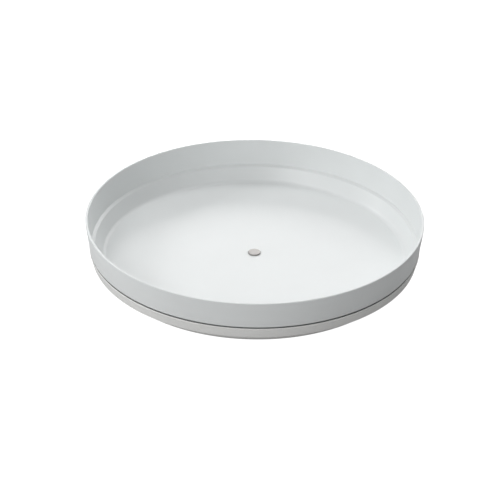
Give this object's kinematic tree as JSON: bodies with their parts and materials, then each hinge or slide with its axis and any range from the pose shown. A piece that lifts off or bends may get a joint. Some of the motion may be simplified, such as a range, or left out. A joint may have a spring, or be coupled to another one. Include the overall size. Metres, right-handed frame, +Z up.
{
  "type": "lazy susan turntable",
  "caption": "Round white storage turntable: a shallow walled tray spins freely on a caged ball race in a low base dish.",
  "frame": {"origin": "centre of the turntable on the table surface that its feet stand on", "axes": "+Z is up along the axis that the tray turns on; +X points through foot_1 and ball_1"},
  "size_m": [0.2998, 0.2998, 0.0465],
  "materials": {
    "white_tray_plastic": "satin moulded polypropylene",
    "white_base_plastic": "satin moulded polypropylene",
    "nylon": "natural nylon",
    "cage_plastic": "natural acetal",
    "rivet_steel": "satin nickel plate",
    "washer_steel": "zinc plate",
    "ball_steel": "polished bearing steel",
    "foot_rubber": "grey non-slip rubber"
  },
  "bodies": {
    "base": {"base_dish": "white_base_plastic", "pivot_rivet": "rivet_steel", "thrust_washer": "nylon", "backing_washer": "washer_steel", "foot_1": "foot_rubber", "foot_2": "foot_rubber", "foot_3": "foot_rubber", "foot_4": "foot_rubber", "foot_5": "foot_rubber", "foot_6": "foot_rubber"},
    "tray": {"tray": "white_tray_plastic", "hub_bush": "nylon"},
    "cage": {"ball_cage": "cage_plastic"},
    "ball_1": {"ball_1": "ball_steel"},
    "ball_2": {"ball_2": "ball_steel"},
    "ball_3": {"ball_3": "ball_steel"},
    "ball_4": {"ball_4": "ball_steel"},
    "ball_5": {"ball_5": "ball_steel"},
    "ball_6": {"ball_6": "ball_steel"},
    "ball_7": {"ball_7": "ball_steel"},
    "ball_8": {"ball_8": "ball_steel"},
    "ball_9": {"ball_9": "ball_steel"},
    "ball_10": {"ball_10": "ball_steel"},
    "ball_11": {"ball_11": "ball_steel"},
    "ball_12": {"ball_12": "ball_steel"}
  },
  "joints": [
    {"name": "tray_spin", "type": "hinge", "parent": "base", "child": "tray", "pos_m": [0, 0, 0], "axis": [0, 0, 1], "continuous": true},
    {"name": "cage_spin", "type": "hinge", "parent": "base", "child": "cage", "pos_m": [0, 0, 0], "axis": [0, 0, 1], "continuous": true},
    {"name": "ball_1_roll", "type": "hinge", "parent": "cage", "child": "ball_1", "pos_m": [0.095, 0, 0.0049], "axis": [1, 0, 0], "continuous": true},
    {"name": "ball_2_roll", "type": "hinge", "parent": "cage", "child": "ball_2", "pos_m": [0.08227, 0.0475, 0.0049], "axis": [0.866, 0.5, 0], "continuous": true},
    {"name": "ball_3_roll", "type": "hinge", "parent": "cage", "child": "ball_3", "pos_m": [0.0475, 0.08227, 0.0049], "axis": [0.5, 0.866, 0], "continuous": true},
    {"name": "ball_4_roll", "type": "hinge", "parent": "cage", "child": "ball_4", "pos_m": [0, 0.095, 0.0049], "axis": [0, 1, 0], "continuous": true},
    {"name": "ball_5_roll", "type": "hinge", "parent": "cage", "child": "ball_5", "pos_m": [-0.0475, 0.08227, 0.0049], "axis": [-0.5, 0.866, 0], "continuous": true},
    {"name": "ball_6_roll", "type": "hinge", "parent": "cage", "child": "ball_6", "pos_m": [-0.08227, 0.0475, 0.0049], "axis": [-0.866, 0.5, 0], "continuous": true},
    {"name": "ball_7_roll", "type": "hinge", "parent": "cage", "child": "ball_7", "pos_m": [-0.095, 0, 0.0049], "axis": [-1, 0, 0], "continuous": true},
    {"name": "ball_8_roll", "type": "hinge", "parent": "cage", "child": "ball_8", "pos_m": [-0.08227, -0.0475, 0.0049], "axis": [-0.866, -0.5, 0], "continuous": true},
    {"name": "ball_9_roll", "type": "hinge", "parent": "cage", "child": "ball_9", "pos_m": [-0.0475, -0.08227, 0.0049], "axis": [-0.5, -0.866, 0], "continuous": true},
    {"name": "ball_10_roll", "type": "hinge", "parent": "cage", "child": "ball_10", "pos_m": [0, -0.095, 0.0049], "axis": [0, -1, 0], "continuous": true},
    {"name": "ball_11_roll", "type": "hinge", "parent": "cage", "child": "ball_11", "pos_m": [0.0475, -0.08227, 0.0049], "axis": [0.5, -0.866, 0], "continuous": true},
    {"name": "ball_12_roll", "type": "hinge", "parent": "cage", "child": "ball_12", "pos_m": [0.08227, -0.0475, 0.0049], "axis": [0.866, -0.5, 0], "continuous": true}
  ],
  "couplings": [
    {"joint": "cage_spin", "follows": "tray_spin", "ratio": 0.5},
    {"joint": "ball_1_roll", "follows": "tray_spin", "ratio": -19},
    {"joint": "ball_2_roll", "follows": "tray_spin", "ratio": -19},
    {"joint": "ball_3_roll", "follows": "tray_spin", "ratio": -19},
    {"joint": "ball_4_roll", "follows": "tray_spin", "ratio": -19},
    {"joint": "ball_5_roll", "follows": "tray_spin", "ratio": -19},
    {"joint": "ball_6_roll", "follows": "tray_spin", "ratio": -19},
    {"joint": "ball_7_roll", "follows": "tray_spin", "ratio": -19},
    {"joint": "ball_8_roll", "follows": "tray_spin", "ratio": -19},
    {"joint": "ball_9_roll", "follows": "tray_spin", "ratio": -19},
    {"joint": "ball_10_roll", "follows": "tray_spin", "ratio": -19},
    {"joint": "ball_11_roll", "follows": "tray_spin", "ratio": -19},
    {"joint": "ball_12_roll", "follows": "tray_spin", "ratio": -19}
  ]
}
